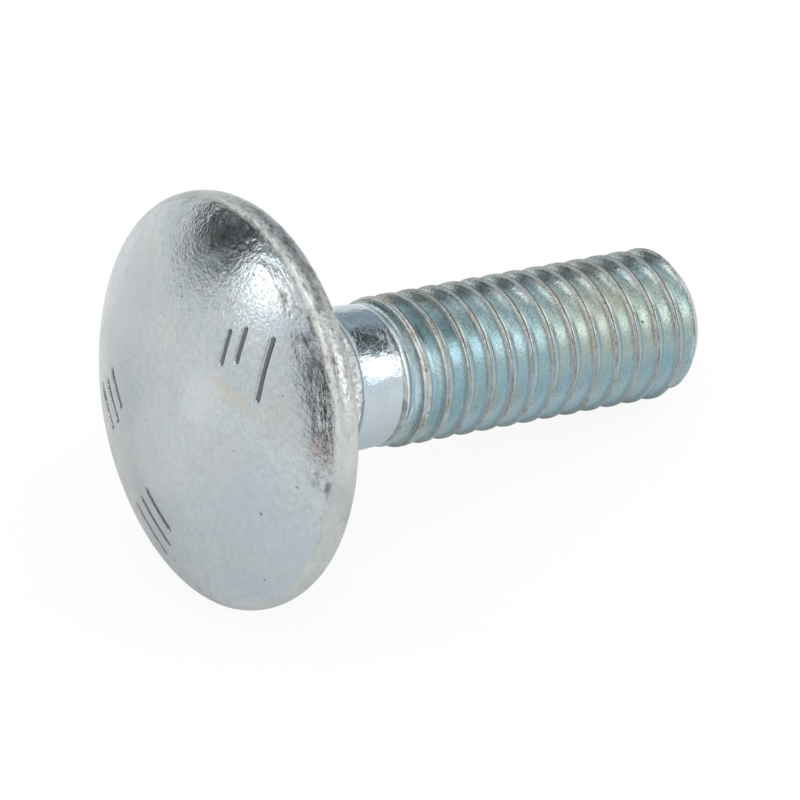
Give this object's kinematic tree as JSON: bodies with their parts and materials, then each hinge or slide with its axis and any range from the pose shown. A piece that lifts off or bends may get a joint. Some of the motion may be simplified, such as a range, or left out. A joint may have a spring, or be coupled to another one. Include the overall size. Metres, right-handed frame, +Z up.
{
  "type": "carriage bolt",
  "caption": "Short carriage bolt with a low domed round head, a square neck, a plain shank and a rolled right-hand thread, in clear zinc plate, lying on its side.",
  "frame": {"origin": "on the surface that the bolt lies on, under the middle of its outer box", "axes": "+X runs along the floor from the head towards the threaded end, +Z is up; the bolt's own axis is in the XZ plane and dips 14.5 degrees towards its end"},
  "size_m": [0.0236, 0.016, 0.0156],
  "materials": {
    "zinc_plate": "clear blue zinc plate, satin on the head and bright on the shank and thread flanks"
  },
  "bodies": {
    "root": {"bolt": "zinc_plate"}
  },
  "joints": []
}
